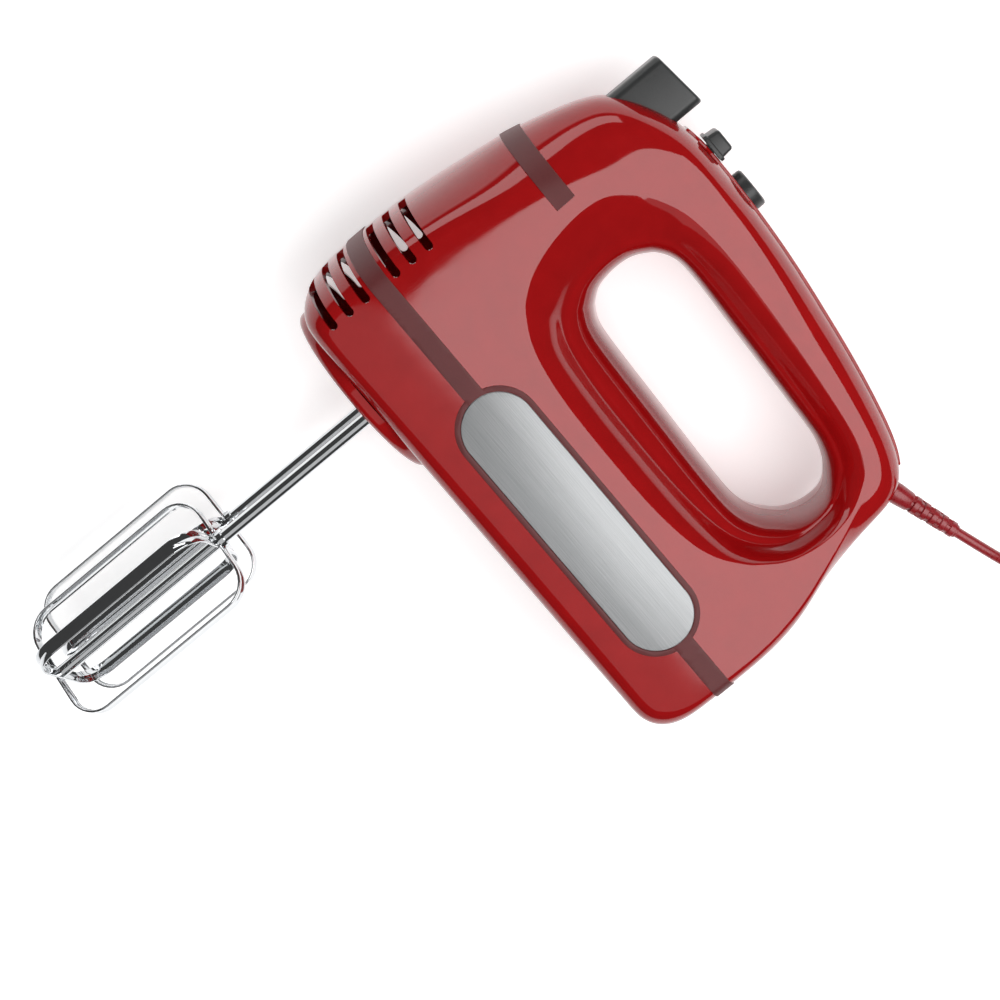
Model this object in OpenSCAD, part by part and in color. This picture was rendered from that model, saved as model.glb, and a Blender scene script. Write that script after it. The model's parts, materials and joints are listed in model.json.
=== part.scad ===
// Hand mixer: two moulded shells with a closed handle loop, a universal motor
// whose worm drives two geared beater sockets, and a pair of four-bladed beaters.
//
// While it is drawn, x runs from the nose to the heel, y from the flat underside
// up to the handle, and z from the mid-plane to the mixer's left side. place()
// then lays it on its right side, which is the side it rests on.

/* [Housing] */
// Length of the body, nose to heel
body_len = 210; // [180:1:255]
// Height of the body, underside to the top of the handle
body_h = 149; // [130:1:180]
// Width of the body across its two flat sides
body_w = 84; // [76:1:102]
// Width of the handle across its upper edge
handle_w = 40; // [36:1:48]
// Wall thickness of the moulded shells
wall = 2.6; // [2:0.1:3.4]
// Clearance between a moulded piece and the opening it sits in
fit_gap = 0.4; // [0.3:0.05:0.6]

/* [Trim] */
// Length of the brushed side plate
plate_len = 115; // [90:1:138]
// Height of the brushed side plate
plate_h = 27.5; // [22:0.5:33]
// Width of the dark border round the side plate
bezel_w = 2; // [1.5:0.1:3]
// How far the side plate stands proud of the housing
plate_proud = 0.6; // [0.4:0.1:1]
// Height of the lower trim band
lower_band_h = 7.5; // [6:0.5:9]
// Height of the upper trim band
upper_band_h = 8; // [6:0.5:9.5]
// Depth of the rebate under each trim piece
rebate = 0.9; // [0.6:0.1:1.2]

/* [Vents] */
// Width of one vent slot
slot_w = 3.2; // [2.4:0.1:3.8]
// Distance between neighbouring vent slots
slot_pitch = 7.4; // [6.5:0.1:8]

/* [Beaters] */
// Distance between the two beater axes
beater_gap = 34; // [34:1:40]
// Diameter of a beater's shaft
shaft_d = 5; // [4:0.1:6]
// Radius of a beater at its blades
beater_r = 23.5; // [20:0.5:24]
// Height of the bladed head
head_h = 80; // [66:1:96]
// Length of bare shaft between the collar and the head
neck_len = 72; // [60:1:86]
// Width of one blade strip
blade_w = 5.5; // [4.5:0.1:6]
// Thickness of one blade strip
blade_t = 1; // [0.8:0.1:1.2]
// Running clearance round each shaft in its bore
run_gap = 0.05; // [0.02:0.01:0.1]

/* [Controls] */
// Length of the eject button along the body
eject_len = 23; // [19:0.5:27]
// Width of the eject button
eject_w = 17; // [14:0.5:20]
// Travel of the eject button
eject_travel = 8; // [6:0.5:9]
// Length of the speed slider's skirt
slider_len = 11; // [9:0.5:13]
// Travel of the speed slider
slider_travel = 6; // [5:0.5:7]
// Length of the turbo button
turbo_len = 15.5; // [13:0.5:18]
// Travel of the turbo button
turbo_travel = 3; // [2:0.5:3.5]

/* [Motor] */
// Side of the square stator core
stator_side = 54; // [46:1:58]
// Length of the stator and armature cores
core_len = 30; // [25:1:36]
// Radius of the armature core
armature_r = 14; // [12:0.5:16]
// Radial air gap between the armature and the stator
air_gap = 0.6; // [0.4:0.1:1]
// Diameter of the motor shaft
motor_shaft_d = 5; // [4:0.5:6]
// Radius of the cooling fan
fan_r = 24; // [20:0.5:26]

/* [Cord] */
// Diameter of the supply cord
cord_d = 4; // [3.6:0.1:4.4]
// Mean radius of the stored coil
coil_r = 22; // [22:1:24]
// Diameter of a plug pin
pin_d = 4; // [3.8:0.1:4.8]
// Length of a plug pin
pin_len = 19; // [17:0.5:19]
// Distance between the plug pins
pin_gap = 18.6; // [17:0.1:19]

/* [Hidden] */
$fn = 48;
eps = 0.01;
red = "#a01518";
dark_red = "#6b2f30";
dark_grey = "#4a4b4b";
steel = "#b8babb";
copper = "#b5652e";

// The outline is drawn for a body 210 long and 149 high, and stretched to size.
len_k = body_len / 210;
high_k = body_h / 149;
function at(p) = [p[0] * len_k, p[1] * high_k];
half_w = body_w / 2;
handle_half = handle_w / 2;

// Main places
beater_x = 52 * len_k;
collar_x = 45 * len_k;
collar_r = 36;
collar_h = 5.3;
motor_y = 34;
band_y = 31;
upper_band_y = 98.5 * high_k;
upper_band_end = 37 * len_k;
plate_x = 68.5 * len_k;
plate_y = band_y - plate_h / 2 - 0.8;
tip_y = -collar_h - neck_len - head_h;
eject_x = 19.5 * len_k;
eject_y = 158 * high_k;
slider_x = eject_x + eject_len + 10;
top_y = 149 * high_k;
turbo_x = slider_x + slider_len + 7;
turbo_y = 153.2 * high_k;
relief_base = at([200, 122.5]);
relief_turn = 17.5;
relief_len = 28.5;
relief_end = relief_base + relief_len * [cos(relief_turn), sin(relief_turn)];
relief_r = 3.6;
relief_core_r = relief_r - 0.9;
band_proud = 0.35;

// Frame: the box of the object without its cord, centred on x and y
x_low = -band_proud;
x_high = relief_end[0] + relief_core_r * sin(relief_turn);
lift = half_w + plate_proud;
module place() {
  translate([-(x_low + x_high) / 2, -(tip_y + eject_y) / 2, lift]) children();
}
module right_side() { mirror([0, 0, 1]) children(); }

// ---- Curves ----
// Smooth curve through points, each stretch cut in n
function spline(p, n = 4) = [
  for (i = [0 : len(p) - 2], j = [0 : n - 1])
    let (t = j / n, a = p[max(i - 1, 0)], b = p[i], c = p[i + 1],
         d = p[min(i + 2, len(p) - 1)])
    0.5 * (2 * b + (c - a) * t + (2 * a - 5 * b + 4 * c - d) * t * t
      + (3 * b - a - 3 * c + d) * t * t * t),
  p[len(p) - 1]];
function run(p, i = 0, s = 0) = i >= len(p) - 1 ? [s]
  : concat([s], run(p, i + 1, s + norm(p[i + 1] - p[i])));
// n points evenly along a curve, without its last
function even(p, n) =
  let (s = run(p), total = s[len(s) - 1],
       xs = [for (i = [0 : len(p) - 1]) [s[i], p[i][0]]],
       ys = [for (i = [0 : len(p) - 1]) [s[i], p[i][1]]])
  [for (k = [0 : n - 1]) [lookup(total * k / n, xs), lookup(total * k / n, ys)]];
function smooth(t) = let (u = min(max(t, 0), 1)) u * u * (3 - 2 * u);

// Four sides of each closed outline, from the lower front corner round
under_n = 20;
rear_n = 12;
top_n = 18;
front_n = 14;
spokes = under_n + rear_n + top_n + front_n;
function sides(a, b, c, d) = concat(even(spline(a), under_n),
  even(spline(b), rear_n), even(spline(c), top_n), even(spline(d), front_n));

outline = sides(
  [for (p = [[3.4, 5.2], [8, 1.4], [16, 0], [70, 0], [130, 0], [192, 0],
    [200, 0.4], [206, 3.6]]) at(p)],
  [for (p = [[206, 3.6], [209.3, 9.5], [210, 18], [210, 42], [209.6, 56],
    [208, 68], [205.6, 76], [203.6, 84.6], [202.2, 93], [200.8, 102],
    [199.6, 112], [198.8, 119], [196.4, 126.4]]) at(p)],
  [for (p = [[196.4, 126.4], [190, 131.6], [183, 134.6], [170, 138],
    [150, 141.8], [130, 144.6], [110, 147], [95, 148.2], [80, 148.9],
    [66, 149], [54, 148.7], [46, 147.6], [38, 145.2], [30, 141.3],
    [23, 137.1], [17, 131]]) at(p)],
  [for (p = [[17, 131], [14.4, 125.6], [11.4, 117], [8.4, 106], [6, 96],
    [3, 76], [0.7, 57], [0, 42], [0, 28], [0.2, 18], [1.2, 10.4],
    [3.4, 5.2]]) at(p)]);
scoop_ring = sides(
  [for (p = [[54, 64], [66, 57.5], [85, 53.8], [112, 52.8], [142, 53.4],
    [164, 57.5], [178, 67]]) at(p)],
  [for (p = [[178, 67], [187, 79], [191, 93], [190, 107], [183, 119]]) at(p)],
  [for (p = [[183, 119], [172, 124], [150, 127], [120, 129.3], [90, 130.4],
    [68, 128.5], [52, 121.5]]) at(p)],
  [for (p = [[52, 121.5], [44.5, 112], [42.2, 100], [43.4, 86], [47.5, 73],
    [54, 64]]) at(p)]);
lip_ring = sides(
  [for (p = [[67.5, 72], [76, 67.5], [90, 65.5], [112, 64.6], [145, 64.8],
    [166, 67.5], [176, 72.5]]) at(p)],
  [for (p = [[176, 72.5], [183.5, 81], [186.3, 92], [185, 104],
    [177, 114.5]]) at(p)],
  [for (p = [[177, 114.5], [166, 118], [145, 119.5], [115, 120.6],
    [90, 120.9], [76, 119.3], [66.5, 113]]) at(p)],
  [for (p = [[66.5, 113], [61.6, 104], [60.2, 94], [61.8, 82],
    [67.5, 72]]) at(p)]);
neck_ring = sides(
  [for (p = [[74.8, 82.4], [80, 79.4], [90, 78.3], [115, 77.4], [150, 76.2],
    [165, 76.8], [173, 80.4]]) at(p)],
  [for (p = [[173, 80.4], [179.5, 87], [182.3, 95], [181, 103.5],
    [173.5, 110]]) at(p)],
  [for (p = [[173.5, 110], [165, 112.8], [148, 113.6], [115, 114.8],
    [90, 115.6], [80, 114.6], [74, 110.6]]) at(p)],
  [for (p = [[74, 110.6], [70.2, 104], [69.2, 96], [70.6, 88],
    [74.8, 82.4]]) at(p)]);

// Half width of the side at a place: full at the foot, narrow at the handle
front_bonus = 7;
function half_at(p) =
  let (rise = smooth((p[1] / high_k - 50) / 80), front = smooth((90 - p[0] / len_k) / 50))
  half_w - (half_w - handle_half) * rise + front_bonus * front * rise * (1.6 - rise);

// Section from the outer mid-plane edge to the opening, along spoke i
arc_steps = 5;
side_steps = 2;
scoop_steps = 3;
roll_steps = 4;
function edge_normal(i) =
  let (a = outline[(i + spokes - 1) % spokes], b = outline[(i + 1) % spokes], d = b - a)
  [d[1], -d[0]] / norm(d);
function section(i, inset) =
  let (nrm = edge_normal(i), o = outline[i] - inset * nrm, s = scoop_ring[i],
       span = norm(s - o), dir = (s - o) / span, nx = nrm[0] * nrm[0],
       ny = nrm[1] * nrm[1],
       round_in = min(span * 0.8,
         nx * (nrm[0] < 0 ? 25 : 12) + ny * (nrm[1] < 0 ? 8.5 : 13) - inset * 0.5),
       rise = nx * (nrm[0] < 0 ? 0.12 : 0.68) + ny * (nrm[1] < 0 ? 0.79 : 0.2),
       p = o + round_in * dir, z = half_at(p) - inset,
       away = s - lip_ring[i], lip = lip_ring[i] + inset * away / norm(away),
       z_lip = half_at(s) * 0.7 - inset,
       back = lip_ring[i] - neck_ring[i], n = neck_ring[i] + inset * back / norm(back))
  concat(
    [[o[0], o[1], 0]],
    [for (k = [0 : arc_steps]) let (a = 90 * k / arc_steps,
      q = o + round_in * (1 - cos(a)) * dir)
      [q[0], q[1], z * rise + z * (1 - rise) * sin(a)]],
    [for (k = [1 : side_steps]) let (q = p + (s - p) * k / side_steps)
      [q[0], q[1], half_at(q) - inset]],
    [for (k = [1 : scoop_steps]) let (t = k / scoop_steps, q = s + (lip - s) * t,
      z_s = half_at(s) - inset) [q[0], q[1], z_s + (z_lip - z_s) * t * (0.4 + 0.6 * t)]],
    [for (k = [1 : roll_steps]) let (a = 90 * k / roll_steps,
      q = lip + (n - lip) * sin(a)) [q[0], q[1], z_lip * cos(a)]]);

// Closed surface through equal rings of points, one ring a spoke
module ring_solid(rings) {
  m = len(rings[0]);
  polyhedron(
    points = [for (r = rings) each r],
    faces = [for (i = [0 : spokes - 1], k = [0 : m - 1])
      let (j = (i + 1) % spokes, l = (k + 1) % m)
      each [[i * m + k, i * m + l, j * m + l], [i * m + k, j * m + l, j * m + k]]],
    convexity = 10);
}
// Closed skin of one half, from an outer inset to an inner one
module skin(outer, inner) {
  ring_solid([for (i = [0 : spokes - 1]) let (far = section(i, inner), m = len(far))
    concat(section(i, outer), [for (k = [m - 1 : -1 : 0]) far[k]])]);
}
// Solid body of one half, used to trim what must end at the housing's wall
module filled_half() { ring_solid([for (i = [0 : spokes - 1]) section(i, 0.3)]); }

// ---- Shared outlines and cutters ----
module stadium(length, high, thick) {
  r = high / 2;
  hull() {
    translate([r, 0, 0]) cylinder(r = r, h = thick, $fn = 32);
    translate([length - r, 0, 0]) cylinder(r = r, h = thick, $fn = 32);
  }
}
module plate_place(z) {
  translate([plate_x, plate_y + plate_h / 2, z]) children();
}
module slab(x0, x1, y0, y1, z0, z1) {
  translate([x0, y0, z0]) cube([x1 - x0, y1 - y0, z1 - z0]);
}
module border_block(deep) {
  plate_place(half_w - deep) translate([-bezel_w, 0, 0])
    stadium(plate_len + 2 * bezel_w, plate_h + 2 * bezel_w, deep + 1);
}
module lower_band_zone() {
  slab(-5, body_len + 5, band_y - lower_band_h / 2, band_y + lower_band_h / 2, -eps, half_w + 5);
}
module upper_band_zone() {
  slab(-5, upper_band_end, upper_band_y - upper_band_h / 2,
    upper_band_y + upper_band_h / 2, -eps, half_w + 5);
}
cover_half = turbo_len / 2 + fit_gap + 0.85;
cover_start = eject_x + eject_len + 3.5;
cover_end = 192 * len_k;
cover_low = 125 * high_k;
module cover_zone(gap) {
  slab(cover_start - gap, cover_end + gap, cover_low, top_y + 10, -eps, cover_half + gap);
}
// The control openings in the top of the housing
module eject_hole(gap) {
  slab(eject_x - gap, eject_x + eject_len + gap, 110 * high_k, eject_y + 5,
    -eps, eject_w / 2 + gap);
}
slider_slot_half = 3.5;
module slider_hole() {
  slab(slider_x + 1 - slider_travel, slider_x + slider_len - 1, cover_low, top_y + 5,
    -eps, slider_slot_half);
}
module turbo_hole(gap) {
  translate([turbo_x + turbo_len / 2, cover_low, 0]) rotate([-90, 0, 0])
    cylinder(r = turbo_len / 2 + gap, h = 60);
}
slots = [for (k = [-3, -2, -1, 1, 2, 3])
  band_y + sign(k) * (lower_band_h / 2 + slot_w / 2 + 1.6) + (k - sign(k)) * slot_pitch];
module vent_slots() {
  for (y = slots) hull() {
    translate([-4, y, 7]) cylinder(d = slot_w, h = half_w, $fn = 16);
    translate([16.8 * len_k, y, 7]) cylinder(d = slot_w, h = half_w, $fn = 16);
  }
}
socket_r = 6.5;
// Flat underside where the nose plate is fixed
module collar_seat() {
  slab(-eps, collar_x + collar_r + 1, -5, 0, -1, half_w);
}
module socket_holes() {
  translate([beater_x, -20, beater_gap / 2]) rotate([-90, 0, 0])
    cylinder(r = socket_r, h = 30, $fn = 40);
}
// Screw posts join the two shells
post_r = 4;
screw_r = 1.5;
screw_head_r = 2.9;
screw_hole = 0.12;
posts = [for (p = [[14, 66], [34, 97], [192, 96], [196, 20], [128, 68],
  [144, 6.6], [200, 62]]) at(p)];
module screw_posts() {
  for (p = posts) translate([p[0], p[1], 0]) cylinder(r = post_r, h = half_w, $fn = 16);
}
module screw_channels(depth) {
  for (p = posts) translate([p[0], p[1], -eps])
    cylinder(r = screw_r + screw_hole, h = depth, $fn = 16);
}
// One moulded half, drawn for the left
module shell_half(is_left) {
  difference() {
    union() {
      skin(0, wall);
      intersection() {
        screw_posts();
        filled_half();
      }
    }
    border_block(rebate);
    intersection() {
      skin(-2, rebate);
      union() {
        lower_band_zone();
        upper_band_zone();
      }
    }
    cover_zone(0);
    eject_hole(fit_gap);
    vent_slots();
    collar_seat();
    socket_holes();
    screw_channels(is_left ? 12 : 2 * half_w);
    if (!is_left) for (p = posts) translate([p[0], p[1], half_at(p) - 5])
      cylinder(r = screw_head_r + 0.3, h = half_w, $fn = 16);
    // Seat of the strain relief
    translate([relief_base[0], relief_base[1], 0]) rotate([0, 0, relief_turn])
      rotate([0, 90, 0]) translate([0, 0, -9]) cylinder(r = relief_r + 0.6, h = 20, $fn = 24);
  }
}
module right_shell() { color(red) place() right_side() shell_half(false); }
module left_shell() { color(red) place() shell_half(true); }

module nose_plate() {
  color(red) place() translate([collar_x, 0, 0]) rotate([90, 0, 0])
    difference() {
      rotate_extrude($fn = 96) polygon([[0, 0], [collar_r, 0], [collar_r, collar_h - 3.2],
        [collar_r - 0.6, collar_h - 1.6], [collar_r - 2.2, collar_h - 0.5],
        [collar_r - 4.4, collar_h], [0, collar_h]]);
      for (s = [-1, 1]) translate([beater_x - collar_x, s * beater_gap / 2, -1])
        cylinder(r = socket_r, h = collar_h + 2);
    }
}

module handle_cover() {
  color(red) place() for (s = [0, 1]) mirror([0, 0, s]) difference() {
    intersection() {
      skin(-0.7, wall);
      cover_zone(0);
    }
    slider_hole();
    turbo_hole(fit_gap);
    eject_hole(fit_gap);
  }
}

module trim_plate() {
  plate_place(half_w - rebate) stadium(plate_len, plate_h, rebate + plate_proud);
}
module right_trim_plate() { color(steel) place() right_side() trim_plate(); }
module left_trim_plate() { color(steel) place() trim_plate(); }
module trim_border() {
  difference() {
    plate_place(half_w - rebate) translate([-bezel_w, 0, 0])
      stadium(plate_len + 2 * bezel_w, plate_h + 2 * bezel_w, rebate + plate_proud / 2);
    plate_place(half_w - 3) stadium(plate_len, plate_h, 8);
  }
}
module right_trim_border() { color(dark_red) place() right_side() trim_border(); }
module left_trim_border() { color(dark_red) place() trim_border(); }
module lower_band() {
  difference() {
    intersection() {
      skin(-band_proud, rebate);
      lower_band_zone();
    }
    border_block(rebate + 1);
    vent_slots();
  }
}
module right_lower_band() { color(dark_red) place() right_side() lower_band(); }
module left_lower_band() { color(dark_red) place() lower_band(); }
module upper_band() {
  intersection() {
    skin(-band_proud, rebate);
    upper_band_zone();
  }
}
module right_upper_band() { color(dark_red) place() right_side() upper_band(); }
module left_upper_band() { color(dark_red) place() upper_band(); }

// ---- Eject button and what it pushes ----
eject_floor = 124 * high_k;
eject_drop = 2.5;
module eject_button() {
  color(dark_grey) place() translate([0, 0, -eject_w / 2]) linear_extrude(eject_w)
    polygon([[eject_x, eject_floor], [eject_x + eject_len, eject_floor],
      [eject_x + eject_len, eject_y - 0.8], [eject_x + eject_len - 0.8, eject_y],
      [eject_x + 0.8, eject_y - eject_drop], [eject_x, eject_y - eject_drop - 0.8]]);
}
gear_face = 12;
gear_low = motor_y - gear_face / 2;
gear_high = motor_y + gear_face / 2;
shank_top = gear_high + 4;
pusher_low = gear_high + eject_travel + 2;
pusher_t = 3;
shank_gap = 0.3;
spring_x = posts[1][0];
leg_x = spring_x - 10.5;
module ejector_frame() {
  color("#d8d8d4") place() {
    slab(beater_x - 8, beater_x + 6, pusher_low, pusher_low + pusher_t,
      -beater_gap / 2 - 4, beater_gap / 2 + 4);
    slab(leg_x, beater_x - 7, pusher_low, pusher_low + pusher_t, -5, 5);
    slab(leg_x, leg_x + 4, pusher_low + pusher_t - 1, eject_floor, -5, 5);
    for (s = [-1, 1]) translate([beater_x, shank_top + shank_gap, s * beater_gap / 2])
      rotate([-90, 0, 0]) cylinder(d = shaft_d - 1, h = pusher_low - shank_top - shank_gap);
  }
}
// A compression spring along y, drawn from y 0, as one sweep
module coil_spring(r, wire, high, turns) {
  per = 12;
  n = turns * per;
  rings = [for (i = [0 : n]) let (a = 360 * i / per)
    [for (k = [0 : 5]) let (b = 60 * k, q = r + wire / 2 * cos(b))
      [q * cos(a), wire / 2 + (high - wire) * i / n + wire / 2 * sin(b), q * sin(a)]]];
  polyhedron(
    points = [for (g = rings) each g],
    faces = concat(
      [for (i = [0 : n - 1], k = [0 : 5]) let (l = (k + 1) % 6)
        each [[i * 6 + k, i * 6 + 6 + k, i * 6 + 6 + l], [i * 6 + k, i * 6 + 6 + l, i * 6 + l]]],
      [[for (k = [0 : 5]) k]], [[for (k = [5 : -1 : 0]) n * 6 + k]]),
    convexity = 8);
}
seat_y = posts[1][1] + post_r;
spring_seat_t = 3;
module eject_spring() {
  color(steel) place() translate([spring_x, seat_y + spring_seat_t, 0])
    coil_spring(3.6, 0.9, eject_floor - seat_y - spring_seat_t, 6);
}
module spring_seat() {
  color("#c9c9c4") place() slab(spring_x - 5, spring_x + 5, seat_y, seat_y + spring_seat_t, -7, 7);
}

// ---- Speed slider and turbo button ----
skirt_y = top_y + 0.9;
skirt_t = 1.5;
knob_y = skirt_y + 6.1;
knob_half = 8;
module speed_slider() {
  color(dark_grey) place() {
    translate([0, 0, -knob_half - 1]) linear_extrude(2 * knob_half + 2)
      polygon([[slider_x, skirt_y], [slider_x + slider_len, skirt_y],
        [slider_x + slider_len - 0.5, skirt_y + skirt_t], [slider_x + 0.5, skirt_y + skirt_t]]);
    translate([0, 0, -knob_half]) linear_extrude(2 * knob_half)
      polygon([[slider_x + 1.6, skirt_y + 0.5], [slider_x + slider_len - 1.6, skirt_y + 0.5],
        [slider_x + slider_len - 2.2, knob_y - 1.2], [slider_x + slider_len - 3.4, knob_y],
        [slider_x + 3.4, knob_y], [slider_x + 2.2, knob_y - 1.2]]);
    slab(slider_x + 3.5, slider_x + slider_len - 3.5, switch_y + 1, skirt_y + 0.5, -2.5, 2.5);
  }
}
switch_y = 131 * high_k;
module speed_switch() {
  color("#2f4f7a") place() difference() {
    slab(slider_x - slider_travel, slider_x + slider_len + 4, switch_y - 9, switch_y + 3, -8, 8);
    slab(slider_x + 2.5 - slider_travel, slider_x + slider_len - 2.5, switch_y, switch_y + 5,
      -2.9, 2.9);
  }
}
turbo_mid = turbo_x + turbo_len / 2;
turbo_foot = top_y - wall - turbo_travel - 3;
module turbo_button() {
  color(dark_grey) place() translate([turbo_mid, turbo_foot, 0]) rotate([-90, 0, 0])
    rotate_extrude($fn = 48) polygon([[0, 0], [turbo_len / 2 - 1.4, 0], [turbo_len / 2, 2],
      [turbo_len / 2, turbo_y - turbo_foot - 0.8],
      [turbo_len / 2 - 0.8, turbo_y - turbo_foot], [0, turbo_y - turbo_foot - 0.7]]);
}
turbo_spring_h = 6;
module turbo_spring() {
  color(steel) place() translate([turbo_mid, turbo_foot - turbo_spring_h, 0])
    coil_spring(2.6, 0.7, turbo_spring_h, 4);
}
module turbo_switch() {
  color("#222222") place() slab(turbo_mid - 6, turbo_mid + 8, switch_y - 9,
    turbo_foot - turbo_spring_h, -5, 5);
}
module speed_board() {
  color("#2d6b3c") place() {
    x0 = turbo_mid + 14;
    slab(x0, x0 + 46, switch_y - 6, switch_y - 4.4, -9, 9);
    slab(x0 + 4, x0 + 14, switch_y - 4.4, switch_y + 2, -6, 4);
    slab(x0 + 20, x0 + 32, switch_y - 4.4, switch_y - 0.5, -7, 2);
    translate([x0 + 39, switch_y - 4.4, 2]) rotate([-90, 0, 0]) cylinder(r = 4, h = 7);
  }
}

// ---- Motor, on one axis along x ----
module on_axis(x) { translate([x, motor_y, 0]) rotate([0, 90, 0]) children(); }
wheel_teeth = 24;
worm_starts = 2;
gear_module = 1;
wheel_r = wheel_teeth * gear_module / 2;
worm_r = beater_gap / 2 - wheel_r;
worm_half = 12;
worm_lead = worm_starts * PI * gear_module;
front_bearing_x = beater_x + 18;
fan_x = front_bearing_x + 8;
core_x = fan_x + 24;
commutator_x = core_x + core_len + 14;
rear_bearing_x = commutator_x + 20;
bearing_r = 8;
bearing_t = 6;
module motor_shaft() {
  color(steel) place() {
    on_axis(beater_x - worm_half - 6) cylinder(d = motor_shaft_d - 1,
      h = rear_bearing_x + bearing_t - beater_x + worm_half + 6);
  }
}
tooth = 0.62;
module drive_worm() {
  color("#8d8f92") place() on_axis(beater_x - worm_half) difference() {
    linear_extrude(2 * worm_half, twist = -360 * 2 * worm_half / worm_lead, slices = 60,
      segments = 16)
      polygon([for (k = [0 : 15]) let (a = 22.5 * k)
        (worm_r - 0.3 + tooth * cos(worm_starts * (a + worm_turn))) * [cos(a), sin(a)]]);
    translate([0, 0, -1]) cylinder(d = motor_shaft_d - 1, h = 2 * worm_half + 2);
  }
}
// A hollow of the worm faces each wheel's tooth at rest
worm_turn = 360 * worm_half / worm_lead - 90;
helix = atan(worm_lead / (2 * PI * worm_r));
wheel_twist = tan(helix) * gear_face / wheel_r * 180 / PI;
hub_r = 5.5;
hub_low = -1;
module drive_gear(side) {
  place() translate([beater_x, 0, side * beater_gap / 2]) rotate([-90, 0, 0]) difference() {
    union() {
      translate([0, 0, motor_y]) rotate([0, 0, -wheel_twist / 2])
        linear_extrude(gear_face, center = true, twist = -wheel_twist, slices = 5,
          segments = wheel_teeth * 4)
        polygon([for (k = [0 : wheel_teeth * 4 - 1]) let (a = 90 * k / wheel_teeth)
          (wheel_r - 0.1 + tooth * cos(wheel_teeth * a)) * [cos(a), sin(a)]]);
      translate([0, 0, hub_low]) cylinder(r = hub_r, h = gear_low - hub_low);
    }
    translate([0, 0, hub_low - 1]) cylinder(d = shaft_d + 2 * run_gap, h = gear_high + 10);
  }
}
module right_gear() { color("#e4e2d8") drive_gear(-1); }
module left_gear() { color("#e4e2d8") drive_gear(1); }
module front_bearing() {
  color(steel) place() on_axis(front_bearing_x - bearing_t / 2) difference() {
    cylinder(r = bearing_r, h = bearing_t);
    translate([0, 0, -1]) cylinder(d = motor_shaft_d - 1 + 2 * run_gap, h = bearing_t + 2);
  }
}
module rear_bearing() {
  color(steel) place() on_axis(rear_bearing_x) difference() {
    cylinder(r = bearing_r, h = bearing_t);
    translate([0, 0, -1]) cylinder(d = motor_shaft_d - 1 + 2 * run_gap, h = bearing_t + 2);
  }
}
frame_half = 27;
module gearbox_frame() {
  color("#c9c9c4") place() difference() {
    union() {
      slab(beater_x - 20, front_bearing_x + 2, 8, 12, -frame_half, frame_half);
      slab(front_bearing_x - 2, front_bearing_x + 2, 12, 56, -frame_half, frame_half);
      slab(beater_x - worm_half - 5, beater_x - worm_half - 2, 12, motor_y + 6, -4, 4);
    }
    on_axis(front_bearing_x - 10) cylinder(r = bearing_r, h = 20);
    on_axis(beater_x - worm_half - 10) cylinder(d = motor_shaft_d - 1 + 2 * run_gap, h = 12);
    for (s = [-1, 1]) translate([beater_x, 0, s * beater_gap / 2]) rotate([-90, 0, 0])
      cylinder(r = hub_r + run_gap, h = 20);
  }
}
module cooling_fan() {
  color("#d9d6c9") place() on_axis(fan_x) difference() {
    union() {
      cylinder(r = fan_r, h = 1.5);
      cylinder(r = 6, h = 10);
      for (a = [0 : 30 : 330]) rotate([0, 0, a]) translate([8, -0.7, 1.5])
        cube([fan_r - 9, 1.4, 8.5]);
    }
    translate([0, 0, -1]) cylinder(d = motor_shaft_d - 1, h = 12);
  }
}
module stator_core() {
  color("#8a8c8f") place() on_axis(core_x) difference() {
    translate([-stator_side / 2, -stator_side / 2, 0]) cube([stator_side, stator_side, core_len]);
    translate([0, 0, -1]) cylinder(r = armature_r + air_gap, h = core_len + 2);
    for (s = [-1, 1]) translate([-10, s > 0 ? armature_r + 2 : -armature_r - 10, -1])
      cube([20, 8, core_len + 2]);
  }
}
coil_out = 5;
module field_coils() {
  color(copper) place() on_axis(core_x) for (s = [-1, 1])
    translate([-9.5, s > 0 ? armature_r + 2.5 : -armature_r - 9.5, -coil_out])
      cube([19, 7, core_len + 2 * coil_out]);
}
module armature_core() {
  color("#77797c") place() on_axis(core_x) difference() {
    cylinder(r = armature_r, h = core_len);
    translate([0, 0, -1]) cylinder(d = motor_shaft_d - 1, h = core_len + 2);
    for (a = [15 : 30 : 345]) rotate([0, 0, a]) translate([armature_r - 4, -0.8, -1])
      cube([6, 1.6, core_len + 2]);
  }
}
module armature_windings() {
  color(copper) place() for (x = [core_x - 7, core_x + core_len]) on_axis(x) difference() {
    cylinder(r = armature_r - 2, h = 7);
    translate([0, 0, -1]) cylinder(d = motor_shaft_d - 1, h = 9);
  }
}
commutator_r = 9;
commutator_len = 12;
module commutator() {
  color("#c07a3e") place() on_axis(commutator_x - 4) difference() {
    cylinder(r = commutator_r, h = commutator_len);
    translate([0, 0, -1]) cylinder(d = motor_shaft_d - 1, h = commutator_len + 2);
    for (a = [0 : 30 : 330]) rotate([0, 0, a]) translate([commutator_r - 1, -0.3, -1])
      cube([2, 0.6, commutator_len + 2]);
  }
}
module carbon_brushes() {
  color("#303030") place() for (s = [0, 1]) mirror([0, 0, s])
    slab(commutator_x - 1, commutator_x + 5, motor_y - 3, motor_y + 3,
      commutator_r + 0.1, commutator_r + 13);
}
module brush_holders() {
  color("#b08d3c") place() for (s = [0, 1]) mirror([0, 0, s]) difference() {
    slab(commutator_x - 3, commutator_x + 7, motor_y - 5, motor_y + 5,
      commutator_r + 3, commutator_r + 16);
    slab(commutator_x - 1, commutator_x + 5, motor_y - 3, motor_y + 3,
      commutator_r + 2, commutator_r + 13);
  }
}
module rear_bracket() {
  color("#c9c9c4") place() difference() {
    slab(rear_bearing_x + 1, rear_bearing_x + 4, 8, 56, -frame_half, frame_half);
    on_axis(rear_bearing_x - 10) cylinder(r = bearing_r, h = 30);
  }
}

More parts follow.
